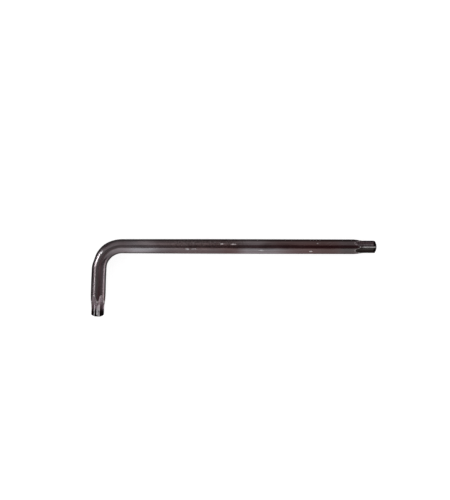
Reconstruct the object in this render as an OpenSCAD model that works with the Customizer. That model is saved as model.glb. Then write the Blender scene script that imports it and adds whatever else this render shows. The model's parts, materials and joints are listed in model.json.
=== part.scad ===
// Star-drive key: one round steel bar bent to an L, with a six-lobed star cut on each end.
// The key lies flat: long arm along +X, short arm towards -Y, underside on Z = 0.

/* [Bar] */
// Diameter of the round bar
bar_d = 6; // [5.8:0.1:8]
// Radius of the bend, measured at the middle of the bar
bend_r = 9.6; // [6:0.1:13]
// Diameter of the bar in the bend, where bending has drawn it thinner
drawn_d = 5.8; // [5.5:0.05:5.9]
// Length of each arm over which the bar comes back to its full diameter
drawn_length = 6; // [3:0.5:10]
// Angle between the two arms; a little over square, as a bent bar springs back
arm_angle = 91.5; // [90.5:0.5:95]

/* [Arms] */
// Long arm, from the outer side of the short arm to its tip
long_arm = 116; // [60:0.5:200]
// Short arm, from the outer side of the long arm to its tip
short_arm = 31.7; // [30:0.1:60]

/* [Star] */
// Width of the star across opposite lobes, as their rounding would make it
star_across_lobes = 5.57; // [5.4:0.01:5.7]
// Width of the star across opposite flutes
star_across_flutes = 3.96; // [3.8:0.01:4.1]
// Rounding radius of each lobe
lobe_r = 0.451; // [0.4:0.001:0.5]
// Diameter that the ends are turned to, which leaves a narrow land on each lobe
turned_d = 5.54; // [5.3:0.01:5.6]
// Angle by which the long arm's star is turned about the arm, from the outer side of the bend upwards
long_turn = 3.5; // [-15:0.5:15]
// Angle by which the short arm's star is turned about the arm, from the outer side of the bend upwards
short_turn = 4; // [-15:0.5:15]

/* [Tips] */
// Length of full star on the long arm
long_star = 4.9; // [3:0.1:10]
// Length over which the long arm's flutes run out to the bar
long_runout = 4.1; // [3:0.1:7]
// Length of full star on the short arm
short_star = 3.1; // [2:0.1:5]
// Length over which the short arm's flutes run out to the bar
short_runout = 5.5; // [3:0.1:7]
// How far the turned diameter runs on past the full star, before the shoulder
turned_extra = 0.2; // [0.1:0.05:0.5]
// Length of the cone between the turned diameter and the bar
shoulder = 1.7; // [1:0.1:3]
// Diameter of the flat on each end face
end_flat_d = 2.7; // [2:0.1:3.6]
// Slope of the chamfer round each end face
end_slope = 30; // [20:1:45]

/* [Hidden] */
$fn = 96;
lobes = 6;
pitch = 360 / lobes;
half_pitch = pitch / 2;
bar_r = bar_d / 2;
drawn_r = drawn_d / 2;
turned_r = turned_d / 2;
flute_floor_r = star_across_flutes / 2;

// Distance from the axis to a lobe's centre
lobe_centre = star_across_lobes / 2 - lobe_r;
// Radius of the flute that touches two neighbouring lobes and leaves the stated flute floor
touching_r =
    (lobe_r ^ 2 - lobe_centre ^ 2 - flute_floor_r ^ 2
        + 2 * cos(half_pitch) * lobe_centre * flute_floor_r)
    / (2 * flute_floor_r - 2 * cos(half_pitch) * lobe_centre - 2 * lobe_r);
// The flute is this much larger, so that it crosses the lobes and doesn't just graze them
flute_bite = 0.005;
flute_r = touching_r + flute_bite;
flute_centre = flute_floor_r + flute_r;
// Centre of the lobe beside the flute on +X
lobe_xy = lobe_centre * [cos(half_pitch), sin(half_pitch)];

// How far a cutter reaches past the bar, how far it turns past the run-out, and half the angle that it takes
cut_reach = 0.4;
clear_turn = 4;
cut_half_angle = half_pitch - 1.5;
// Depth that a flute loses over its run-out
runout_rise = bar_r - flute_floor_r;
// Height of the chamfer cone on each end
end_bevel = (turned_r - end_flat_d / 2) * tan(end_slope);

// The straight length of each arm, from the end of the bend to its tip.
// The centre lines cross at a corner, which each arm's overall length passes by corner_side.
bend_sweep = 180 - arm_angle;
corner_side = bar_r / sin(arm_angle);
bend_tangent = bend_r / tan(arm_angle / 2);
long_straight = long_arm - corner_side - bend_tangent;
short_straight = short_arm - corner_side - bend_tangent;

// The bend reaches this far round into each arm, which is this much wider there and so holds its end
bend_lap = 1.5;
lap_margin = 0.01;

// Sides of the box round the whole key, measured from the centre of the bend
box_left = -(short_straight - short_star - short_runout) * cos(bend_sweep)
    - (bend_r + bar_r) * sin(bend_sweep);
box_right = long_straight;
box_front = (bend_r - end_flat_d / 2) * cos(bend_sweep) - short_straight * sin(bend_sweep);
box_back = bend_r + bar_r;

// Section of one flute cutter, centred on +X: what lies outside the star, nearly up to both lobes' lands
module flute_section() {
    far = 2 * bar_r * [cos(cut_half_angle), sin(cut_half_angle)];
    intersection() {
        translate([0, -bar_d])
            square([bar_r + cut_reach, 2 * bar_d]);
        union() {
            translate([flute_centre, 0])
                circle(flute_r);
            difference() {
                polygon([[flute_centre, 0], lobe_xy, far, [far.x, -far.y], [lobe_xy.x, -lobe_xy.y]]);
                for (side = [-1, 1])
                    translate([lobe_xy.x, side * lobe_xy.y])
                        circle(lobe_r);
            }
        }
    }
}

// Cutter for one flute of an arm that stands on Z = 0: straight along the star, then out of the bar on an arc
// whose centre stands over the end of the star
module flute_cutter(straight, star, runout) {
    arc_r = (runout ^ 2 + runout_rise ^ 2) / (2 * runout_rise);
    arc_centre = flute_floor_r + arc_r;
    module section() {
        translate([arc_centre, 0])
            mirror([1, 0])
                flute_section();
    }
    translate([arc_centre, 0, straight - star])
        rotate([90, 180, 0]) {
            rotate([90, 0, 0])
                linear_extrude(star + cut_reach)
                    section();
            rotate_extrude(angle = asin(runout / arc_r) + clear_turn)
                section();
        }
}

// Bar of one arm, standing on Z = 0: drawn end, full bar, shoulder cone, turned star diameter, chamfer.
// It is turned a quarter pitch, which keeps its seam clear of lobes and flutes.
module turned_bar(straight, star) {
    turned_from = straight - star - turned_extra;
    rotate([0, 0, pitch / 4])
        rotate_extrude()
            polygon([[0, 0], [drawn_r + lap_margin, 0], [bar_r, drawn_length],
                [bar_r, turned_from - shoulder], [turned_r, turned_from],
                [turned_r, straight - end_bevel], [end_flat_d / 2, straight], [0, straight]]);
}

// One arm, standing on Z = 0, with its star turned about the arm
module arm(straight, star, runout, turn) {
    rotate([0, 0, turn])
        difference() {
            turned_bar(straight, star);
            for (i = [0:lobes - 1])
                rotate([0, 0, (i + 0.5) * pitch])
                    flute_cutter(straight, star, runout);
        }
}

// The bend about its own centre, from the long arm round to the short one
module bend() {
    rotate([0, 0, 90 - bend_lap])
        rotate_extrude(angle = bend_sweep + 2 * bend_lap)
            translate([bend_r, 0])
                circle(drawn_r);
}

module star_key() {
    color([0.30, 0.27, 0.27])
        translate([-(box_left + box_right) / 2, -(box_front + box_back) / 2, bar_r]) {
            translate([0, bend_r, 0])
                rotate([0, 90, 0])
                    arm(long_straight, long_star, long_runout, long_turn);
            bend();
            rotate([0, 0, bend_sweep])
                translate([0, bend_r, 0])
                    rotate([0, -90, 0])
                        arm(short_straight, short_star, short_runout, -short_turn);
        }
}

star_key();
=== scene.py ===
"""Star-drive key on a pale stage: builds the key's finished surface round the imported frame.

The file is laid out as an add-on and is run as a script.
"""

import json
import math
from types import SimpleNamespace

import bpy
import numpy as np
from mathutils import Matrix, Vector


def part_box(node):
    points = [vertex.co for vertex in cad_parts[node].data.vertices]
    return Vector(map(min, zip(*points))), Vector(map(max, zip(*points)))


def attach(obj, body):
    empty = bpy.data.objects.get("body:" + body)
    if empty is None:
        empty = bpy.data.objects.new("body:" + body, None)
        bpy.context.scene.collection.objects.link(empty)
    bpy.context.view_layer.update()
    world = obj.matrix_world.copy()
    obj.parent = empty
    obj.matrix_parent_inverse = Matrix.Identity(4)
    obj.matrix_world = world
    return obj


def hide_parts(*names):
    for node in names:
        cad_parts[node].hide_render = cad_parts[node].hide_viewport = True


bl_info = {
    "name": "Star-drive key",
    "version": (1, 0, 0),
    "blender": (4, 5, 0),
    "location": "3D View > Sidebar > Star key",
    "description": "Builds an L-shaped star-drive key and the stage that it lies on",
    "category": "Add Mesh",
}

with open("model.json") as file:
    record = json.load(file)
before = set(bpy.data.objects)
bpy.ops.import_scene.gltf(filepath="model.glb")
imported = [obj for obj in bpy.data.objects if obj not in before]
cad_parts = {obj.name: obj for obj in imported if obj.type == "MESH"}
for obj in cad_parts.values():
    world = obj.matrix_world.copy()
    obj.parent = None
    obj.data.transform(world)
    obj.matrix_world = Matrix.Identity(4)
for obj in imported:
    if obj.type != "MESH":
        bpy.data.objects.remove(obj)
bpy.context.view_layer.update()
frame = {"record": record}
KEY_LOW, KEY_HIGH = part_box("star_key")
MOUNTS = {mount["name"]: mount for mount in frame["record"]["mounts"]}

MM = 0.001
LOBES = 6
PITCH = 2 * math.pi / LOBES
UP = np.array([0.0, 0.0, 1.0])
# Points round each ring of the key's surface
RING_POINTS = 240
# Keeps the surface just inside the solid's box
SHRINK = 0.9999

# Turning screws has polished one side of each lobe of the short arm's star, and a painted highlight brightens
# it, over these angles past its crest, in degrees. The lobes are counted from the outer side of the bend
# upwards.
# The last row says how brightly each shines.
RUBBED_AND_LIT_FROM = np.array([17.0, -3.0, 8.0, 6.0, -4.0, 10.0])
RUBBED_AND_LIT_TO = np.array([27.0, 31.0, 24.0, 22.0, 26.0, 24.0])
RUBBED_AND_LIT_HOW = np.array([2.6, 1.15, 0.8, 0.9, 1.0, 0.8])
# How light each flute is, from the outer side of the bend upwards: oxide left in it, painted shade and
# painted highlight
LONG_FLUTE_OXIDE_AND_LIGHT = np.array([0.14, 0.42, 0.05, 0.40, 0.25, 0.55])
SHORT_FLUTE_OXIDE_AND_LIGHT = np.array([0.25, 1.15, 0.95, 0.45, 0.30, 0.60])

# The next lists go along the bar. Each pair is a distance from the long tip, in millimetres, and a level.
# How far handling has polished the finish, on the outer side and on the inner side of the bend
POLISHED_OUTER = (
    (0, 0.10), (14, 0.05), (24, 0.0), (30, 0.05), (40, 0.02), (44, 0.16), (48, 0.56), (53, 0.60),
    (57, 0.24), (63, 0.10), (68, 0.18), (78, 0.32), (85, 0.14), (89, 0.16), (94, 1.0), (98, 0.58),
    (103, 0.20), (106, 0.36), (114, 0.50), (118, 0.15), (122, 0.12), (126, 0.54), (137, 0.6),
)
POLISHED_INNER = (
    (0, 0.05), (20, 0.0), (27, 0.06), (33, 0.15), (37, 0.38), (41, 0.74), (46, 0.76), (49, 0.86),
    (53, 0.86), (57, 0.10), (61, 0.0), (65, 0.12), (70, 0.14), (78, 0.20), (84, 0.15), (88, 0.35),
    (92, 0.96), (98, 1.0), (102, 0.56), (107, 0.5), (112, 0.5), (116, 0.62), (121, 0.55), (137, 0.45),
)
# How light the line along the very top is: half leaves it as it is.
CROWN = (
    (0, 0.45), (9, 0.48), (14, 0.46), (20, 0.41), (28, 0.47), (33, 0.43), (37, 0.33), (41, 0.41),
    (45, 0.31), (49, 0.45), (53, 0.38), (57, 0.43), (61, 0.68), (66, 0.55), (70, 0.76), (75, 0.50),
    (78, 0.66), (82, 0.82), (86, 0.82), (90, 0.78), (94, 0.54), (98, 0.60), (106, 0.68), (112, 0.96),
    (120, 0.90), (126, 0.60), (137, 0.50),
)
# The warm brown is strongest towards the long tip, and just short of the short arm's star.
BROWN = (
    (0, 0.2), (14, 0.35), (19, 0.95), (33, 1.0), (42, 0.55), (50, 0.25), (58, 0.75), (80, 0.6),
    (92, 0.2), (100, 0.25), (110, 0.5), (128, 0.35), (131, 0.9), (134, 0.9), (136, 0.2),
)
# The tint cools to grey round the bend and on worn stretches.
COOL = (
    (0, 0.4), (9, 0.5), (12, 0.95), (16, 0.45), (22, 0.6), (27, 0.0), (36, 0.0), (42, 0.45),
    (52, 0.35), (57, 0.0), (61, 0.2), (66, 0.6), (70, 0.35), (78, 0.35), (84, 0.5), (94, 0.6),
    (98, 0.7), (103, 0.3), (109, 0.5), (122, 0.6), (127, 0.2), (132, 0.0), (137, 0.4),
)
# It is ruddy along the top, most of all towards the long tip.
RUDDY = (
    (8, 0.0), (14, 0.35), (19, 1.0), (34, 1.0), (42, 0.45), (50, 0.0), (55, 0.3), (62, 0.6),
    (70, 0.35), (78, 0.2), (86, 0.0), (137, 0.0),
)
# Small rubbed spots: the distance from the long tip, the outward and upward coordinates, half the length and
# half the width, in millimetres
NICKS = (
    (76.9, -1.15, 2.75, 0.85, 0.50), (74.2, -1.1, 2.8, 1.6, 0.25), (63.0, 1.0, 2.8, 0.9, 0.35),
    (58.3, 0.85, 2.9, 1.4, 0.35), (46.9, -1.6, 2.5, 1.5, 0.32), (26.9, -1.95, 2.2, 0.75, 0.45),
    (112.0, 1.2, 2.7, 0.8, 0.4), (24.2, 1.3, 2.7, 0.4, 0.25),
)
# Families of straight scratches: how far each leans across the bar, and its spacing in millimetres
SCRATCHES = ((3.0, 7.3), (-1.3, 5.7), (6.5, 11.0))

WHITE = (1.0, 1.0, 1.0)
LIGHT_DISTANCE = 0.7
# Each light's name, azimuth and elevation in degrees, width and height in metres, radiance and tint
LIGHTS = (
    ("front_panel", -90, 33, (1.0, 0.70), 0.36, (0.97, 1.0, 1.0)),
    ("back_panel", 90, 35, (0.9, 0.90), 0.19, (0.97, 1.0, 1.0)),
    ("left_strip", 178, 29, (0.50, 0.10), 1.6, (0.97, 0.97, 1.0)),
    ("corner_strip", 162, 24, (0.22, 0.14), 7.2, WHITE),
    ("corner_end", 150, 24, (0.10, 0.12), 0.9, WHITE),
    ("right_panel", 0, 30, (0.6, 0.50), 0.06, WHITE),
)


# ---------------------------------------------------------------------------------------------
# Sizes and colours that a user would change
# ---------------------------------------------------------------------------------------------


def length(name, description, default):
    """A length property, in metres."""
    return bpy.props.FloatProperty(
        name=name, description=description, default=default, min=0.0, unit="LENGTH", precision=5
    )


def angle(name, description, degrees):
    """An angle property, whose default is given in degrees."""
    return bpy.props.FloatProperty(
        name=name, description=description, default=math.radians(degrees), subtype="ANGLE"
    )


def share(name, description, default, top=1.0):
    """A plain number property between 0 and top."""
    return bpy.props.FloatProperty(name=name, description=description, default=default, min=0.0, max=top)


def colour(name, description, default):
    """A colour property, in linear values."""
    return bpy.props.FloatVectorProperty(
        name=name, description=description, default=default, subtype="COLOR", size=3, min=0.0, max=1.0
    )


class KeySizes(bpy.types.PropertyGroup):
    """Sizes of the key. The arms' places and lengths come from the frame."""

    bar_diameter: length(
        "Bar diameter", "Diameter of the round bar", 2 * MOUNTS["long_shank"]["dims"]["r_mm"] * MM
    )
    bend_radius: length("Bend radius", "Radius of the bend, at the middle of the bar", 9.6 * MM)
    drawn_diameter: length(
        "Drawn diameter", "Diameter of the bar in the bend, where it is drawn thinner", 5.8 * MM
    )
    drawn_long: length(
        "Drawn length, long", "Length over which the long arm comes back to its full diameter", 33 * MM
    )
    drawn_short: length(
        "Drawn length, short", "Length over which the short arm comes back to its full diameter", 5.0 * MM
    )
    across_lobes: length(
        "Across lobes", "Width of the star across opposite lobes, if they were round", 5.57 * MM
    )
    across_flutes: length("Across flutes", "Width of the star across opposite flutes", 3.96 * MM)
    lobe_radius: length("Lobe radius", "Rounding radius of each lobe", 0.451 * MM)
    turned_diameter: length("Turned diameter", "Diameter that the ends are turned to", 5.54 * MM)
    long_star: length("Long arm star", "Length of full star on the long arm", 4.9 * MM)
    long_runout: length("Long arm run-out", "Length of the flutes' run-out on the long arm", 4.1 * MM)
    short_star: length("Short arm star", "Length of full star on the short arm", 3.1 * MM)
    short_runout: length("Short arm run-out", "Length of the flutes' run-out on the short arm", 5.5 * MM)
    turned_extra: length("Turned extra", "How far the turned diameter runs past the full star", 0.2 * MM)
    shoulder: length("Shoulder", "Length of the cone between the turned diameter and the bar", 1.7 * MM)
    end_flat: length("End flat", "Diameter of the flat on each end face", 2.7 * MM)
    end_slope: angle("End slope", "Slope of the chamfer round each end face", 30)
    long_turn: angle("Long arm turn", "How far the long arm's star is turned about its axis", 3.5)
    short_turn: angle("Short arm turn", "How far the short arm's star is turned about its axis", 4.0)
    edge_rounding: length(
        "Edge rounding", "How softly worn the edges between flutes and lands are", 0.14 * MM
    )


class SteelLook(bpy.types.PropertyGroup):
    """Colours and wear of the steel."""

    steel: colour("Steel", "Colour of the burnished steel", (0.275, 0.222, 0.228))
    warm: colour("Warm oxide", "Colour of the brownish oxide", (0.262, 0.172, 0.168))
    polished: colour("Polished", "Colour where handling has polished the finish", (0.600, 0.548, 0.568))
    milled: colour("Milled", "Colour of the milled steel in the flutes", (0.850, 0.740, 0.795))
    dark: colour("Dark oxide", "Colour of the dark oxide left in the flutes", (0.070, 0.058, 0.050))
    black: colour("Black oxide", "Colour of the blackened chamfers and lobes", (0.015, 0.012, 0.013))
    bare: colour("Bare steel", "Colour of the steel where the finish is rubbed off", (0.740, 0.710, 0.720))
    roughness: share("Roughness", "Roughness of the plain bar", 0.18)
    flute_roughness: share("Flute roughness", "Roughness in the flutes", 0.34)


class StageLook(bpy.types.PropertyGroup):
    """Camera and floor."""

    camera_height: length("Camera height", "Height of the camera above the middle of the bar", 310 * MM)
    camera_side: bpy.props.FloatVectorProperty(
        name="Camera place",
        description="Where the camera stands above the key, from the middle of its box",
        default=(-3.43 * MM, 11.41 * MM),
        size=2,
        subtype="XYZ",
        unit="LENGTH",
    )
    camera_roll: angle("Camera roll", "How far the camera is turned about its own line of sight", 0.135)
    view_height: length("View height", "Height of the picture, measured at the middle of the bar", 204.5 * MM)
    floor_size: length("Floor size", "Width of the floor", 8.0)
    floor_glow: share("Floor glow", "How much the pale floor shines by itself", 0.85, 4.0)


# ---------------------------------------------------------------------------------------------
# Mesh making
# ---------------------------------------------------------------------------------------------


def soft_min(a, b, width):
    """The smaller of a and b, with the corner where they cross rounded over width."""
    share_a = np.clip(0.5 + 0.5 * (b - a) / width, 0, 1)
    return b * (1 - share_a) + a * share_a - width * share_a * (1 - share_a)


def straight_runs(sizes):
    """Finds the key's centre line from its two tips in the frame.

    The long arm's tip and direction and the short arm's tip and direction give the corner where the two
    centre lines cross. The bend starts at the corner less bend radius / tan(half the angle between the arms).
    Returns the long tip, the direction back along the long arm, its straight length, the angle that the bend
    turns through and the short arm's straight length.
    """
    long_tip, short_tip = (np.array(MOUNTS[name]["pos_m"]) for name in ("long_star", "short_star"))
    long_axis, short_axis = (np.array(MOUNTS[name]["axis"], float) for name in ("long_star", "short_star"))
    # long_tip - a * long_axis = short_tip - b * short_axis, in the plane that the key lies in
    a, b = np.linalg.solve(np.stack([long_axis[:2], -short_axis[:2]], 1), (long_tip - short_tip)[:2])
    between = math.acos(float(long_axis @ short_axis))
    tangent = sizes.bend_radius / math.tan(between / 2)
    return long_tip, -long_axis, a - tangent, math.pi - between, b - tangent


def centre_line(u, sizes):
    """Points and outward directions of the bar's centre line at the distances u from the long tip.

    Straight back along the long arm, then round a circle of the bend radius, then straight to the short tip.
    The outward direction points away from the bend's centre, and turns with the line.
    """
    tip, back, long_run, sweep, _ = straight_runs(sizes)
    out = np.cross(back, UP)
    radius = sizes.bend_radius
    turned = np.clip((u - long_run) / radius, 0, sweep)[:, None]
    heading = np.cos(turned) * back - np.sin(turned) * out
    outward = np.sin(turned) * back + np.cos(turned) * out
    centre = tip + back * long_run - out * radius
    on_long = np.minimum(u, long_run)[:, None]
    on_short = np.maximum(u - long_run - radius * sweep, 0)[:, None]
    points = centre + radius * outward + back * (on_long - long_run) + heading * on_short
    return points, outward


def flute_shape(from_flute, rise, sizes):
    """Radius of the star at each angle from the middle of a flute, with the flute moved outward by rise.

    Two circles are used: the flute's, of radius R with its middle outside the bar at the distance c from the
    axis, and the lobe's, of radius r with its middle inside the bar at p. A ray from the axis in the
    direction v meets the flute's circle at c cos(angle) - sqrt(R^2 - c^2 sin^2(angle)) up to the point where
    both circles touch, and beyond it leaves the lobe's circle at v.p + sqrt(r^2 - |p|^2 + (v.p)^2).
    """
    half = PITCH / 2
    lobe_r = sizes.lobe_radius
    lobe_out = sizes.across_lobes / 2 - lobe_r
    floor_r = sizes.across_flutes / 2
    flute_r = (
        lobe_r**2 - lobe_out**2 - floor_r**2 + 2 * math.cos(half) * lobe_out * floor_r
    ) / (2 * floor_r - 2 * math.cos(half) * lobe_out - 2 * lobe_r)
    flute_out = floor_r + flute_r
    lobe_x, lobe_y = lobe_out * math.cos(half), lobe_out * math.sin(half)
    near = flute_r / (flute_r + lobe_r)
    touch_x, touch_y = flute_out + (lobe_x - flute_out) * near, lobe_y * near

    turn = np.abs(from_flute)
    centre = flute_out + rise
    inside = flute_r**2 - (centre * np.sin(turn)) ** 2
    flute = centre * np.cos(turn) - np.sqrt(np.maximum(inside, 0))
    along = np.cos(turn) * (lobe_x + rise) + np.sin(turn) * lobe_y
    reach = lobe_r**2 - (lobe_x + rise) ** 2 - lobe_y**2 + along**2
    lobe = along + np.sqrt(np.maximum(reach, 0))
    return np.where(turn < np.arctan2(touch_y, touch_x + rise), flute, lobe)


def blank_radius(to_tip, to_bend, star, drawn_length, sizes):
    """Radius of the bar before its flutes are cut, and the radius of the chamfer's cone at its end.

    From the tip: the turned diameter, the shoulder's cone, the full bar, then a slow cone down to the drawn
    diameter of the bend. Each joint between them is averaged over a short stretch, as rolling leaves it.
    """
    bar, drawn, turned = sizes.bar_diameter / 2, sizes.drawn_diameter / 2, sizes.turned_diameter / 2
    turned_from = star + sizes.turned_extra
    spread = np.linspace(-0.25 * MM, 0.25 * MM, 9)[:, None]
    up_shoulder = np.clip((to_tip + spread - turned_from) / sizes.shoulder, 0, 1).mean(0)
    from_bend = np.clip((to_bend + 4 * spread) / drawn_length, 0, 1).mean(0)
    end = turned + (bar - turned) * up_shoulder
    bend = drawn + (bar - drawn) * from_bend
    # The chamfer swells a little, as a worn one does: its slope falls off towards the turned diameter. Past
    # that the cone leaves the bar at three times the slope.
    swell = 0.45
    full = turned - sizes.end_flat / 2
    way = to_tip / (full * math.tan(sizes.end_slope))
    on_chamfer = way * (1 + swell - swell * way)
    beyond = 1 + 3 * (1 - swell) * (way - 1)
    cone = sizes.end_flat / 2 + full * np.where(way < 1, on_chamfer, beyond)
    return np.minimum(end, bend), cone


def key_rings(sizes):
    """Distances from the long tip at which the key's section is drawn: close at chamfers, stars and bend."""
    _, _, long_run, sweep, short_run = straight_runs(sizes)
    bend_end = long_run + sizes.bend_radius * sweep
    total = bend_end + short_run
    bevel = (sizes.turned_diameter - sizes.end_flat) / 2 * math.tan(sizes.end_slope)

    def tip(star, runout):
        """Distances from a tip: close over the chamfer, then 0.1 mm apart until the flutes have run out."""
        fluted = star + runout + 0.5 * MM
        return np.concatenate([
            np.linspace(0, bevel + 0.06 * MM, 22),
            np.arange(bevel + 0.14 * MM, fluted, 0.1 * MM),
            [fluted],
        ])

    long_tip, short_tip = tip(sizes.long_star, sizes.long_runout), tip(sizes.short_star, sizes.short_runout)
    rings = np.concatenate([
        long_tip,
        np.linspace(long_tip[-1], long_run, 64)[1:],
        np.linspace(long_run, bend_end, 44)[1:],
        np.linspace(bend_end, total - short_tip[-1], 12)[1:-1],
        total - short_tip[::-1],
    ])
    return rings, long_run, bend_end, total


def cutter_ridges(u):
    """Height of the fine ridges that the cutter left across the flutes, at the distances u from the long tip.

    They are about half a millimetre apart: a sine of u, whose phase drifts and whose height changes with
    slower sines of u.
    """
    u_mm = u / MM
    drift = 1.5 * np.sin(1.7 * u_mm)
    height = 0.009 * MM * (0.55 + 0.45 * np.sin(2.3 * u_mm + 1.0))
    return height * np.sin(12.2 * u_mm + drift)


def bend_marks(u, angles, long_run, sizes):
    """How far bending moved the surface away from the centre line, at each distance u and angle.

    The outer side swells a little before the bend's middle and is pulled flat after it, and the inner side is
    pushed up where the bend ends. Each is a hump along the bend, height * exp(-((degrees - middle) /
    width)^2), times the square of the cosine round the bar, on its own side only.
    """
    degrees = np.degrees((u - long_run) / sizes.bend_radius)[:, None]

    def hump(height_mm, middle, width):
        return height_mm * MM * np.exp(-(((degrees - middle) / width) ** 2))

    outer_side = np.maximum(np.cos(angles), 0)[None, :] ** 2
    inner_side = np.maximum(-np.cos(angles), 0)[None, :] ** 2
    return (hump(0.17, 36, 17) - hump(0.26, 70, 10)) * outer_side + hump(0.16, 88, 16) * inner_side


def lobe_wear_and_highlight(from_first):
    """How brightly each lobe is polished and lit by painted highlight, at angles from the star's first flute.

    It rises over 4 degrees from where the lobe's rubbed band begins, falls over 3 degrees to where it ends,
    and grows from 0.6 to 1 across the band, because the lobe's far side takes most of the rubbing.
    """
    past_lobe = np.degrees(from_first % PITCH - PITCH / 2)
    lobe = np.floor(from_first / PITCH).astype(int) % LOBES
    begin, end = RUBBED_AND_LIT_FROM[lobe], RUBBED_AND_LIT_TO[lobe]
    band = np.clip((past_lobe - begin) / 4, 0, 1) * np.clip((end - past_lobe) / 3, 0, 1)
    return band * RUBBED_AND_LIT_HOW[lobe] * (0.6 + 0.4 * np.clip((past_lobe - begin) / (end - begin), 0, 1))


def worked_places(section, blank, cone):
    """Where each kind of worked surface lies, from the radii of the star, the uncut bar and the chamfer.

    wear is 1 along the edges where flutes cut the bar and 0.7 along the chamfer's rim, falling off on both
    sides; cut is 1 in the flutes, chamfer on the chamfer and lobe on the lobes' lands.
    """
    within = np.minimum(section, blank)
    crease = np.exp(-(((section - blank - 0.01 * MM) / (0.11 * MM)) ** 2))
    rim = np.exp(-(((cone - within) / (0.14 * MM)) ** 2))
    chamfer = np.clip((within - cone) / (0.05 * MM), 0, 1)
    return {
        "wear": np.maximum(crease, 0.7 * rim),
        "cut": np.clip((blank - section) / (0.35 * MM), 0, 1) * (1 - chamfer),
        "chamfer": chamfer,
        "lobe": np.clip(1 - (blank - section) / (0.3 * MM), 0, 1),
    }


def key_surface(sizes):
    """Points of the key on a grid of rings and angles, with the values that its finish follows.

    Each ring stands square to the centre line. Its radius is the softened smaller of three: the bar's own,
    the chamfer's cone, and the star's, whose flutes move outward on an arc until they leave the bar:
    rise = R - sqrt(R^2 - t^2), with t the distance past the full star and R = (L^2 + D^2) / (2 D) for a
    run-out of length L and a flute of depth D. The cutter's ridges are added to the rise, and the marks of
    bending to the radius. Past the last ring the end faces close on a single point.
    """
    angles = np.linspace(0, 2 * math.pi, RING_POINTS, endpoint=False)
    u, long_run, bend_end, total = key_rings(sizes)
    to_bend = np.maximum(np.maximum(long_run - u, u - bend_end), 0)
    on_long = u < (long_run + bend_end) / 2
    to_tip = np.where(on_long, u, total - u)
    star = np.where(on_long, sizes.long_star, sizes.short_star)
    runout = np.where(on_long, sizes.long_runout, sizes.short_runout)
    drawn_length = np.where(on_long, sizes.drawn_long, sizes.drawn_short)
    turn = np.where(on_long, sizes.long_turn, sizes.short_turn)[:, None]

    depth = sizes.bar_diameter / 2 - sizes.across_flutes / 2
    arc = (runout**2 + depth**2) / (2 * depth)
    past = np.clip(to_tip - star, 0, 0.98 * arc)
    rise = arc - np.sqrt(arc**2 - past**2) + cutter_ridges(u)

    from_first = angles[None, :] - turn
    from_flute = (from_first + PITCH / 2) % PITCH - PITCH / 2
    flute = np.round(from_first / PITCH).astype(int) % LOBES
    section = flute_shape(from_flute, rise[:, None], sizes)
    blank, cone = (radius[:, None] for radius in blank_radius(to_tip, to_bend, star, drawn_length, sizes))
    radius = soft_min(section, blank, sizes.edge_rounding)
    radius = soft_min(radius, cone, 0.5 * sizes.edge_rounding) * SHRINK
    radius = radius + bend_marks(u, angles, long_run, sizes)

    points, outward = centre_line(u, sizes)
    around = np.cos(angles)[None, :, None] * outward[:, None, :] + np.sin(angles)[None, :, None] * UP

    # Rings that close each end face, as shares of the last ring's radius
    closing = np.array([0.94, 0.8, 0.5, 0.2])

    def with_ends(rows):
        first, last = np.repeat(rows[:1], len(closing), 0), np.repeat(rows[-1:], len(closing), 0)
        return np.concatenate([first, rows, last])

    scale = np.concatenate([closing[::-1], np.ones(len(u)), closing])[:, None]
    radius = with_ends(radius) * scale
    grid = with_ends(points)[:, None, :] + radius[:, :, None] * with_ends(around)
    distance = np.repeat(with_ends(u)[:, None], RING_POINTS, 1)
    worked = worked_places(section, blank, cone) | {"drive": lobe_wear_and_highlight(from_first)}
    values = {name: with_ends(value) * scale**8 for name, value in worked.items()}
    # Each flute's lightness: oxide left in it, painted shade in the hollow and painted highlight
    values["tone"] = with_ends(np.where(on_long[:, None], LONG_FLUTE_OXIDE_AND_LIGHT[flute], SHORT_FLUTE_OXIDE_AND_LIGHT[flute]))
    values["unbent"] = np.stack([distance, radius * np.cos(angles), radius * np.sin(angles)], 2)
    return grid, values


def ring_quads(rings, turns):
    """Quads between neighbouring rings of points, round and round, as rows of four point numbers."""
    row, column = np.arange(rings - 1)[:, None] * turns, np.arange(turns)[None, :]
    after = (column + 1) % turns
    corners = [row + column, row + turns + column, row + turns + after, row + after]
    return np.stack(corners, 2).reshape(-1, 4)


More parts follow.
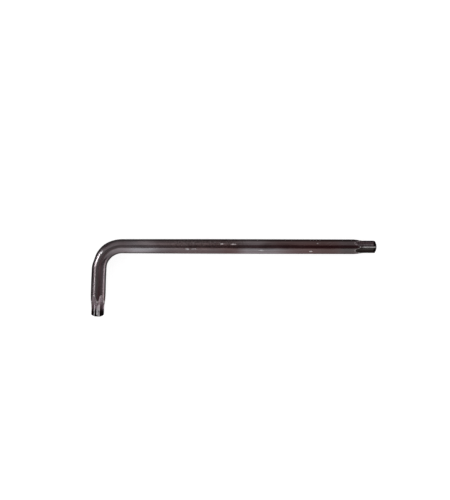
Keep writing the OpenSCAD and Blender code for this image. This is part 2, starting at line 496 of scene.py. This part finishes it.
def closed_tube(name, grid, values):
    """A mesh from rings of points: neighbouring rings joined by quads, each end closed by a fan of triangles.

    values holds per-vertex attributes by name, as grids like the points; each end's middle vertex takes the
    mean of its ring.
    """
    rings, turns = grid.shape[:2]

    def with_middles(rows):
        """The grid as one row a vertex, followed by the mean of the first ring and that of the last."""
        rows = rows.reshape(rings, turns, -1)
        return np.concatenate([rows.reshape(rings * turns, -1), rows[:1].mean(1), rows[-1:].mean(1)])

    column = np.arange(turns)
    after = (column + 1) % turns
    middle, last = rings * turns, (rings - 1) * turns
    quads = ring_quads(rings, turns)
    first_fan = np.stack([np.full(turns, middle), column, after], 1)
    last_fan = np.stack([np.full(turns, middle + 1), last + after, last + column], 1)
    corners = np.concatenate([quads.ravel(), first_fan.ravel(), last_fan.ravel()])
    sides = np.concatenate([np.full(len(quads), 4), np.full(2 * turns, 3)])

    points = with_middles(grid)
    mesh = bpy.data.meshes.new(name)
    mesh.vertices.add(len(points))
    mesh.vertices.foreach_set("co", points.astype(np.float32).ravel())
    mesh.loops.add(len(corners))
    mesh.loops.foreach_set("vertex_index", corners.astype(np.int32))
    mesh.polygons.add(len(sides))
    mesh.polygons.foreach_set("loop_start", np.concatenate([[0], np.cumsum(sides)[:-1]]).astype(np.int32))
    mesh.polygons.foreach_set("use_smooth", np.ones(len(sides), bool))
    mesh.update(calc_edges=True)
    for key, value in values.items():
        rows = with_middles(value)
        kind, field = ("FLOAT_VECTOR", "vector") if rows.shape[1] == 3 else ("FLOAT", "value")
        attribute = mesh.attributes.new(key, kind, "POINT")
        attribute.data.foreach_set(field, rows.astype(np.float32).ravel())
    mesh.validate()
    return mesh


def add_piece(name, mesh, material):
    """Puts a mesh into the scene as an object with its material."""
    piece = bpy.data.objects.new(name, mesh)
    bpy.context.scene.collection.objects.link(piece)
    mesh.materials.append(material)
    return piece


# ---------------------------------------------------------------------------------------------
# Shader maths
# ---------------------------------------------------------------------------------------------


class Wire:
    """A shader socket that can stand in a sum: each operator adds a Math node and gives its output."""

    def __init__(self, tree, socket):
        self.tree, self.socket = tree, socket

    def node(self, kind, settings=None, output=0, **values):
        """Adds a node of this kind: its settings first, then its sockets, named s0, s1 and so on by their
        place or by their name with underscores for spaces. Gives the output asked for as a Wire."""
        made = self.tree.nodes.new(kind)
        for key, value in (settings or {}).items():
            if key == "stops":
                place_stops(made.color_ramp, value)
            else:
                setattr(made, key, value)
        for key, value in values.items():
            socket = made.inputs[int(key[1:]) if key[1:].isdigit() else key.replace("_", " ")]
            if isinstance(value, Wire):
                self.tree.links.new(value.socket, socket)
            else:
                socket.default_value = value
        return Wire(self.tree, made.outputs[output])

    def math(self, operation, a, b=0.0, clamp=False):
        """One Math node on a and b, its result kept between 0 and 1 if clamp is set."""
        return self.node("ShaderNodeMath", {"operation": operation, "use_clamp": clamp}, s0=a, s1=b)

    def __add__(self, other):
        return self.math("ADD", self, other)

    __radd__ = __add__

    def __sub__(self, other):
        return self.math("SUBTRACT", self, other)

    def __rsub__(self, other):
        return self.math("SUBTRACT", other, self)

    def __mul__(self, other):
        return self.math("MULTIPLY", self, other)

    __rmul__ = __mul__

    def __truediv__(self, other):
        return self.math("DIVIDE", self, other)

    def __rtruediv__(self, other):
        return self.math("DIVIDE", other, self)

    def most(self, other):
        """The larger of this value and another."""
        return self.math("MAXIMUM", self, other)

    def ramp(self, low, high):
        """0 below low, 1 above high, and a smooth step between; high may be the lower of the two."""
        return self.node(
            "ShaderNodeMapRange",
            {"interpolation_type": "SMOOTHSTEP", "clamp": True},
            Value=self, From_Min=low, From_Max=high, To_Min=0.0, To_Max=1.0,
        )

    def within(self, start, full, full_end, end):
        """1 from full to full_end, with a smooth step down to 0 at start and at end."""
        return self.ramp(start, full) * self.ramp(end, full_end)

    def vector(self, operation, other=None, output=0):
        """This vector, with another if given, through one Vector Math node."""
        second = {} if other is None else {"s1": other}
        return self.node("ShaderNodeVectorMath", {"operation": operation}, output, s0=self, **second)

    def length(self):
        """The length of this vector."""
        return self.vector("LENGTH", output=1)

    def parts(self):
        """The three numbers of this vector."""
        first = self.node("ShaderNodeSeparateXYZ", s0=self)
        return [Wire(self.tree, socket) for socket in first.socket.node.outputs]

    def noise(self, scale, detail=2.0, roughness=0.5, stretch=(1, 1, 1)):
        """Noise of this vector, from 0 to 1, with the vector first scaled by stretch."""
        at = self.vector("MULTIPLY", stretch) if tuple(stretch) != (1, 1, 1) else self
        return self.node(
            "ShaderNodeTexNoise", {"noise_dimensions": "3D"},
            Vector=at, Scale=scale, Detail=detail, Roughness=roughness,
        )

    def mix(self, one, other):
        """One colour to the other as this value goes from 0 to 1."""
        settings = {"data_type": "RGBA", "clamp_factor": True}
        return self.node("ShaderNodeMix", settings, 2, s0=self, s6=as_colour(one), s7=as_colour(other))

    def times(self, other):
        """This colour multiplied by another, part by part."""
        settings = {"data_type": "RGBA", "blend_type": "MULTIPLY"}
        return self.node("ShaderNodeMix", settings, 2, s0=1.0, s6=self, s7=other)

    def grey(self):
        """The grey whose three parts are this value."""
        return self.node("ShaderNodeCombineColor", s0=self, s1=self, s2=self)


def place_stops(ramp, stops):
    """Sets a colour ramp's stops from pairs of place and grey level."""
    while len(ramp.elements) < len(stops):
        ramp.elements.new(1.0)
    for element, (place, level) in zip(ramp.elements, stops):
        element.position = place
        element.color = (level, level, level, 1.0)


def as_colour(value):
    """A colour socket's value: a Wire as it is, three numbers with full cover."""
    return value if isinstance(value, Wire) else (*value, 1.0)


def new_material(name):
    """An empty node material with its Principled shader, the output, and a Wire to build from."""
    material = bpy.data.materials.new(name)
    material.use_nodes = True
    tree = material.node_tree
    tree.nodes.clear()
    shader = tree.nodes.new("ShaderNodeBsdfPrincipled")
    output = tree.nodes.new("ShaderNodeOutputMaterial")
    tree.links.new(shader.outputs[0], output.inputs[0])
    return material, shader, Wire(tree, None)


def connect(wire, socket):
    """Links a Wire to a shader's socket."""
    wire.tree.links.new(wire.socket, socket)


def along_bar(along, stops, total):
    """A value that changes along the bar: straight lines between pairs of distance and level."""
    place = along / total
    stops = [(distance / total, level) for distance, level in stops]
    return place.node("ShaderNodeValToRGB", {"stops": stops}, s0=place)


def nicks(at, places):
    """Small rubbed spots: 1 within each ellipsoid, falling to 0 at its ragged edge."""
    total = 0.0
    ragged = (at.noise(2.8, 3.0, 0.65) - 0.5) * 2.0
    for along, outward, up, half_length, half_width in places:
        away = at.vector("SUBTRACT", (along, outward, up))
        away = away.vector("DIVIDE", (half_length, half_width, half_width)).length()
        total = (away + ragged).ramp(1.0, 0.45) + total
    return total


def scratches(at, lean, spacing):
    """Straight hair-thin scratches, each shown in a few short stretches.

    They lie where the bar meets parallel planes that lean across it, spacing millimetres apart along it.
    """
    across = (1.0, lean, 0.6 * lean)
    planes = at.vector("DOT_PRODUCT", across, 1) * (1 / spacing) + at.noise(0.05, 0.0) * 2
    half_width = 0.022 * math.hypot(*across) / spacing
    middle = at.math("ABSOLUTE", at.math("FRACT", planes) - 0.5)
    line = middle.ramp(half_width, 0.3 * half_width)
    return line * at.noise(0.3 + 0.02 * spacing, 1.0, 0.5, (0.5, 1.0, 1.0)).ramp(0.53, 0.62)


def steel_places(wire, total):
    """What the finish reads at a point of the key, each as a Wire: its place, its worked surfaces and noises.

    Places are on the straightened bar, in millimetres, so that patterns follow it round the bend: along is
    the distance from the long tip, outward is away from the bend's centre and up is up.
    """
    metres = wire.node("ShaderNodeAttribute", {"attribute_name": "unbent"}, 1)
    at = metres.vector("MULTIPLY", (1 / MM, 1 / MM, 1 / MM))
    along, outward, up = at.parts()
    worked = {
        name: wire.node("ShaderNodeAttribute", {"attribute_name": name}, 2)
        for name in ("wear", "cut", "chamfer", "tone", "lobe", "drive")
    }
    grain = at.noise(6.0, 3.0, 0.65, (0.5, 1.0, 1.0))
    return SimpleNamespace(
        at=at, along=along, outward=outward, up=up, total=total, from_short=total - along,
        radial=at.vector("MULTIPLY", (0, 1, 1)).length(),
        inner_side=outward.ramp(0.8, -0.8),
        # The scuffed stretch is on the upper side of the long arm.
        scuffed=along.within(51, 58, 80, 88) * up.ramp(0.8, 2.2) * outward.ramp(-1.0, 0.0),
        patches=at.noise(0.32, 3.0, 0.55, (0.35, 1.0, 1.0)),
        streaks=at.noise(2.4, 3.0, 0.6, (0.03, 1.0, 1.0)),
        lines=at.noise(9.0, 2.0, 0.5, (0.012, 1.0, 1.0)),
        mottle=at.noise(1.5, 3.0, 0.6),
        grain=grain,
        speck=(grain * 1.3 - 0.15).ramp(0.2, 0.9),
        **worked,
    )


def worn_places(steel):
    """Where the finish is worn, each as a Wire that is 0 where it isn't.

    near_short is the short star; lands is both stars' lobes, crest the uppermost of these, and drive the
    sides of the short star's lobes that screws have polished, brightened further by painted highlight. edges
    is the rubbed edges, rubbed the spots on the scuffed stretch, hairs the scratches, and nicks and pits are
    those.
    """
    in_star = steel.along.ramp(7.2, 5.0) + steel.from_short.ramp(6.0, 4.5)
    lands = in_star * steel.lobe.ramp(0.3, 0.95)
    crest = lands * steel.up.ramp(1.8, 2.4)
    ragged_end = steel.from_short + (steel.mottle - 0.5) * 2.4
    near_short = ragged_end.ramp(5.1, 4.1) * steel.radial.ramp(1.30, 1.45)
    blotch = steel.at.noise(0.9, 2.0, 0.6, (0.8, 1, 1)).ramp(0.30, 0.60)
    drive = near_short * steel.drive * (0.45 + 0.55 * blotch) * (0.75 + 0.4 * steel.speck)
    drive = drive * steel.radial.ramp(1.4, 1.95)

    broken = steel.at.noise(2.2, 2.0, 0.6)
    edges = (steel.wear * (0.10 + 1.3 * broken)).ramp(0.35, 0.85) * (1 - steel.chamfer)
    edges = edges * (1 - in_star * steel.up.ramp(2.3, 1.9))
    edges = edges * (0.85 + 0.4 * steel.from_short.ramp(12.0, 9.0))
    hairs = sum(scratches(steel.at, lean, spacing) for lean, spacing in SCRATCHES)
    return SimpleNamespace(
        near_short=near_short, lands=lands, crest=crest, drive=drive, edges=edges,
        rubbed=steel.at.noise(2.1, 2.0, 0.6, (0.7, 1, 1)).ramp(0.58, 0.74) * steel.scuffed * 0.55,
        nicks=nicks(steel.at, NICKS),
        hairs=hairs * (1 - steel.cut) * (1 - steel.chamfer),
        pits=steel.grain.ramp(0.66, 0.78) * 0.7,
    )


def bar_colour(steel, look):
    """Colour of the plain bar: burnished steel under patchy brown oxide, polished where handled, painted
    shade in the bend.
    """
    outer, inner, brown = (
        along_bar(steel.along, stops, steel.total) for stops in (POLISHED_OUTER, POLISHED_INNER, BROWN)
    )
    handled = (outer + steel.inner_side * (inner - outer)) * (0.55 + 0.9 * steel.patches)
    warmth = (brown * (0.4 + 1.2 * steel.patches)).ramp(0.1, 1.0)
    base = handled.mix(warmth.mix(look.steel, look.warm), look.polished)
    # Painted shade: the inside of the bend, where the arms close in, is darkened towards the dark oxide
    # colour.
    bend_corner_shade = steel.along.within(76, 94, 110, 118) * steel.outward.ramp(-2.1, -2.7)
    base = (bend_corner_shade * 0.7).mix(base, look.dark)
    return (steel.mottle.ramp(0.60, 0.40) * steel.scuffed * 0.5).mix(base, look.dark)


def star_colour(base, steel, worn, look):
    """The colour base with both ends worked on it: flutes, lobes, chamfers and ground end faces."""
    # Flutes: dark oxide to milled grey, by the flute; this also stands for painted shade and painted
    # highlight
    marks = steel.at.noise(2.2, 2.0, 0.6, (1.0, 0.25, 0.25)).ramp(0.35, 0.65)
    milled = (steel.tone * (0.35 + 0.75 * steel.speck + 0.5 * marks)).mix(look.dark, look.milled)
    base = steel.cut.ramp(0.05, 0.6).mix(base, milled)
    # The uppermost lobes are rubbed bare on their crests; the others stay black.
    base = (worn.lands * 0.85).mix(base, look.black)
    base = (worn.crest * (0.25 + 0.65 * steel.speck)).mix(base, look.bare)
    # On the short arm one side of each lobe is polished bare and brightened by painted highlight. The rest is
    # light at the run-outs and black at the tip.
    rest = steel.from_short.ramp(4.3, 2.0).mix((0.72, 0.60, 0.66), look.black)
    base = (worn.near_short * 0.92).mix(base, worn.drive.mix(rest, look.bare))
    # Chamfers and the tips of the flutes are black, but not where bare lobes and the long star's lightest
    # flute reach them.
    light_flute = steel.tone.ramp(0.5, 0.6) * steel.along.ramp(4.0, 3.0) * 0.7
    shown = (worn.crest * steel.speck.ramp(0.0, 0.4)).most(worn.drive).most(light_flute)
    flute_tips = steel.along.ramp(1.5, 1.1).most(steel.from_short.ramp(1.3, 0.9)) * steel.cut
    base = (steel.chamfer.most(flute_tips) * (0.98 - 0.98 * shown)).mix(base, look.black)
    ground = steel.at.noise(7.0, 2.0, 0.6, (1.0, 0.1, 1.0)).ramp(0.35, 0.65).mix(look.dark, look.steel)
    return (steel.radial.ramp(1.40, 1.32) * 0.85).mix(base, ground)


def light_and_tint(steel, worn):
    """How the colour is shaded and tinted from place to place, as a colour to multiply it by.

    Besides streaks, mottle and pits, it holds painted highlight and painted shade round the bend.
    """
    cool, ruddy, crown = (along_bar(steel.along, stops, steel.total) for stops in (COOL, RUDDY, CROWN))
    along, up, inner_side = steel.along, steel.up, steel.inner_side
    # Painted highlight makes the inner side lighter just before the bend, and painted shade makes it darker
    # round it.
    # The long arm is darker just behind its star.
    before_bend = along.within(89, 97, 100, 107) * inner_side
    shade = 0.80 + steel.streaks * 0.30 + steel.mottle * 0.10 - worn.pits * 0.3 + before_bend * 0.3
    shade = shade * (1 - 0.24 * along.within(107, 111, 115, 119) * inner_side)
    shade = shade * (1 + up.ramp(2.55, 2.85) * (crown * 2 - 1)) * (1 - 0.14 * along.within(9.2, 9.6, 12, 16))

    # The grey is greener by the long tip than elsewhere. The top of the bend is greener still: partly its
    # olive tone, partly a painted tint that offsets the rose light from overhead.
    cool = cool * (inner_side + along.ramp(94, 102)).ramp(0, 1)
    grey = along.ramp(22, 46).mix((0.89, 1.035, 0.98), (0.90, 1.005, 1.035))
    tint = (ruddy * up.ramp(2.72, 2.93)).mix(cool.mix(WHITE, grey), (1.06, 0.96, 0.95))
    greenish = along.within(103, 112, 124, 128) * up.ramp(2.6, 2.93) * 0.4
    return greenish.mix(tint, (0.84, 1.06, 0.97)).times(shade.grey())


def worn_steel_and_painted_light(look, total):
    """Dark, brownish burnished steel with drawing lines, patchy oxide, a scuffed stretch and rubbed edges.

    Its colour also holds painted highlight and painted shade in places.
    """
    material, shader, wire = new_material("worn_steel_and_painted_light")
    steel = steel_places(wire, total)
    worn = worn_places(steel)

    base = star_colour(bar_colour(steel, look), steel, worn, look)
    base = (worn.edges * 0.85 + worn.rubbed + worn.nicks * 0.8).mix(base, look.bare)
    base = (worn.hairs * 0.45).mix(base, look.bare)
    connect(base.times(light_and_tint(steel, worn)), shader.inputs["Base Color"])
    # Bare metal is scored in every direction, so it shines less like a mirror and catches light all round.
    scored = worn.edges * 0.8 + worn.nicks * 0.8 + worn.crest * (0.1 + 0.4 * steel.speck) + worn.drive
    scored = wire.math("MINIMUM", scored, 1.0)
    connect(1.0 - scored * 0.55, shader.inputs["Metallic"])
    # The very edges of the outline stay dim.
    shader.inputs["Specular Tint"].default_value = (0.5, 0.5, 0.5, 1.0)

    # The finish is glossier towards the long tip.
    rough = look.roughness + steel.along.ramp(48, 66) * 0.07
    rough = rough + (steel.streaks - 0.5) * 0.12 + (steel.patches - 0.5) * 0.10
    rough = rough + steel.cut * (look.flute_roughness - look.roughness) * (1 - worn.near_short)
    rough = rough + steel.scuffed * 0.05
    # Bending and handling have smoothed the fine marks in the bend and next to it.
    bend = steel.along.within(97, 101, 127, 131)
    rough = rough + scored * 0.18 + worn.pits * 0.08 - worn.near_short * 0.05 + bend * 0.03
    connect(wire.math("ADD", rough, 0.0, clamp=True), shader.inputs["Roughness"])

    speckle = (steel.mottle.ramp(0.42, 0.62) - 0.5) * steel.scuffed
    height = steel.lines * 0.4 + steel.streaks * 0.8 + steel.grain * steel.cut * 2.5 + speckle * 0.8
    height = height - worn.nicks * 9.0 - worn.hairs * 1.2 - worn.pits * 0.5
    waves = steel.at.noise(0.5, 1.0, 0.5, (0.4, 1, 1))
    height = height * (1 - 0.85 * bend) + waves * 3.5
    bump = wire.node("ShaderNodeBump", Strength=1.0, Distance=0.004 * MM, Height=height)
    connect(bump, shader.inputs["Normal"])
    return material


# ---------------------------------------------------------------------------------------------
# Stage
# ---------------------------------------------------------------------------------------------


def soft_box(name, azimuth, elevation, size, radiance, tint):
    """An area light that faces the key.

    azimuth is in degrees from +X towards +Y and elevation in degrees above the floor. size is its width along
    the floor and its height, in metres. Its power is radiance times area times pi, so that a light of any
    size shines alike in the steel.
    """
    lamp = bpy.data.lights.new(name, "AREA")
    lamp.shape = "RECTANGLE"
    lamp.size, lamp.size_y = size
    lamp.energy = radiance * size[0] * size[1] * math.pi
    lamp.color = tint
    a, e = math.radians(azimuth), math.radians(elevation)
    away = Vector((math.cos(a) * math.cos(e), math.sin(a) * math.cos(e), math.sin(e)))
    light = bpy.data.objects.new(name, lamp)
    light.location = (KEY_LOW + KEY_HIGH) / 2 + away * LIGHT_DISTANCE
    light.rotation_euler = away.to_track_quat("Z", "Y").to_euler()
    light.visible_camera = False
    bpy.context.scene.collection.objects.link(light)


def studio_air():
    """The world: nearly dark, with a warm grey below the horizon towards -Y and a glow along it towards +X.

    Above the horizon it is rose. Straight overhead it is nearly white over the bend and redder over the long
    tip.
    """
    world = bpy.data.worlds.new("studio_air")
    world.use_nodes = True
    tree = world.node_tree
    tree.nodes.clear()
    wire = Wire(tree, None)
    x, y, z = wire.node("ShaderNodeTexCoord").parts()
    below = z.ramp(0.22, -0.12)
    # Straight down lies the key's own shadow, which dims the edges of its outline.
    shadow = 0.05 * z.ramp(-0.75, -0.95)
    ahead = y.ramp(0.3, -0.9) * x.ramp(0.7, 0.2) * x.ramp(-0.8, -0.3) * z.ramp(-0.97, -0.80) * 0.36
    right_glow = z.within(-0.24, -0.08, -0.04, 0.10) * x.ramp(0.5, 0.9) * 1.45
    right_rim = z.within(-0.62, -0.35, -0.20, -0.05) * x.ramp(0.25, 0.6) * 0.35
    level = 0.07 - shadow + below * ahead + right_glow + right_rim
    overhead = x.ramp(-0.18, 0.16).mix((1.0, 0.93, 0.93), (1.0, 0.50, 0.58))
    ceiling = z.ramp(0.80, 0.94).mix((1.0, 0.67, 0.74), overhead)
    tint = below.mix(ceiling, (1.0, 0.92, 0.94))
    background = wire.node("ShaderNodeBackground", Color=tint, Strength=level)
    output = tree.nodes.new("ShaderNodeOutputWorld")
    connect(background, output.inputs[0])
    bpy.context.scene.world = world


def pale_floor(look):
    """A round pale sweep: flat in the middle, curving up into a wall that closes the view on every side.

    Its profile is a flat run to 0.8 of the reach, a quarter circle of radius 0.2 of it and an upright wall,
    turned about the Z axis.
    """
    turns, reach, curve = 96, look.floor_size / 2, 0.2
    bend = np.linspace(0, math.pi / 2, 12)
    flat = [[0.15, 0.0], [0.5, 0.0], [1 - curve, 0.0]]
    rise = np.stack([1 - curve + curve * np.sin(bend), curve * (1 - np.cos(bend))], 1)
    profile = np.concatenate([flat, rise[1:], [[1.0, 0.9]]]) * reach
    angles = np.linspace(0, 2 * math.pi, turns, endpoint=False)
    grid = np.stack([
        profile[:, :1] * np.cos(angles),
        profile[:, :1] * np.sin(angles),
        np.repeat(profile[:, 1:], turns, 1),
    ], 2)
    mesh = bpy.data.meshes.new("floor")
    faces = ring_quads(len(grid), turns).tolist() + [list(range(turns))]
    mesh.from_pydata(grid.reshape(-1, 3).tolist(), [], faces)
    mesh.update()

    material, shader, _ = new_material("pale_floor")
    shader.inputs["Base Color"].default_value = (0.4, 0.4, 0.4, 1.0)
    shader.inputs["Roughness"].default_value = 0.9
    shader.inputs["Specular IOR Level"].default_value = 0.0
    shader.inputs["Emission Color"].default_value = (1.0, 1.0, 1.0, 1.0)
    shader.inputs["Emission Strength"].default_value = look.floor_glow
    floor = add_piece("floor", mesh, material)
    floor.visible_glossy = False
    return floor


# ---------------------------------------------------------------------------------------------
# Operators and panel
# ---------------------------------------------------------------------------------------------


class OBJECT_OT_star_key(bpy.types.Operator):
    """Build the key's finished surface in place of the plain solid"""

    bl_idname = "object.star_key"
    bl_label = "Star-drive key"

    def execute(self, context):
        scene = context.scene
        grid, values = key_surface(scene.key_sizes)
        mesh = closed_tube("key", grid, values)
        total = float(values["unbent"][..., 0].max()) / MM
        key = add_piece("key", mesh, worn_steel_and_painted_light(scene.steel_look, total))
        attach(key, "root")
        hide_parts("star_key")
        return {"FINISHED"}


class OBJECT_OT_key_stage(bpy.types.Operator):
    """Build the floor, the lights and the camera"""

    bl_idname = "object.key_stage"
    bl_label = "Stage"

    def execute(self, context):
        scene, look = context.scene, context.scene.stage_look
        pale_floor(look)
        studio_air()
        for light in LIGHTS:
            soft_box(*light)

        lens = bpy.data.cameras.new("camera")
        # The sensor's width goes with the longer side of the picture, its height.
        lens.lens = lens.sensor_width * look.camera_height / look.view_height
        camera = bpy.data.objects.new("camera", lens)
        middle = (KEY_LOW + KEY_HIGH) / 2
        camera.location = middle + Vector((*look.camera_side, look.camera_height))
        camera.rotation_euler = (0, 0, look.camera_roll)
        lens.clip_start, lens.clip_end = 0.01, 20
        scene.collection.objects.link(camera)
        scene.camera = camera
        scene.view_settings.view_transform = "Standard"
        return {"FINISHED"}


class VIEW3D_PT_star_key(bpy.types.Panel):
    """Sidebar panel with the key's operators and settings"""

    bl_label = "Star key"
    bl_idname = "VIEW3D_PT_star_key"
    bl_space_type = "VIEW_3D"
    bl_region_type = "UI"
    bl_category = "Star key"

    def draw(self, context):
        layout = self.layout
        for operator in (OBJECT_OT_star_key, OBJECT_OT_key_stage):
            layout.operator(operator.bl_idname)
        for group in SETTINGS:
            settings = getattr(context.scene, group)
            for name in settings.bl_rna.properties.keys():
                if name not in ("rna_type", "name"):
                    layout.prop(settings, name)


CLASSES = (KeySizes, SteelLook, StageLook, OBJECT_OT_star_key, OBJECT_OT_key_stage, VIEW3D_PT_star_key)
SETTINGS = {"key_sizes": KeySizes, "steel_look": SteelLook, "stage_look": StageLook}


def register():
    for item in CLASSES:
        bpy.utils.register_class(item)
    for name, group in SETTINGS.items():
        setattr(bpy.types.Scene, name, bpy.props.PointerProperty(type=group))


def unregister():
    for name in SETTINGS:
        delattr(bpy.types.Scene, name)
    for item in reversed(CLASSES):
        bpy.utils.unregister_class(item)


def main():
    """Builds everything."""
    register()
    bpy.ops.object.star_key()
    bpy.ops.object.key_stage()


if __name__ == "__main__":
    main()
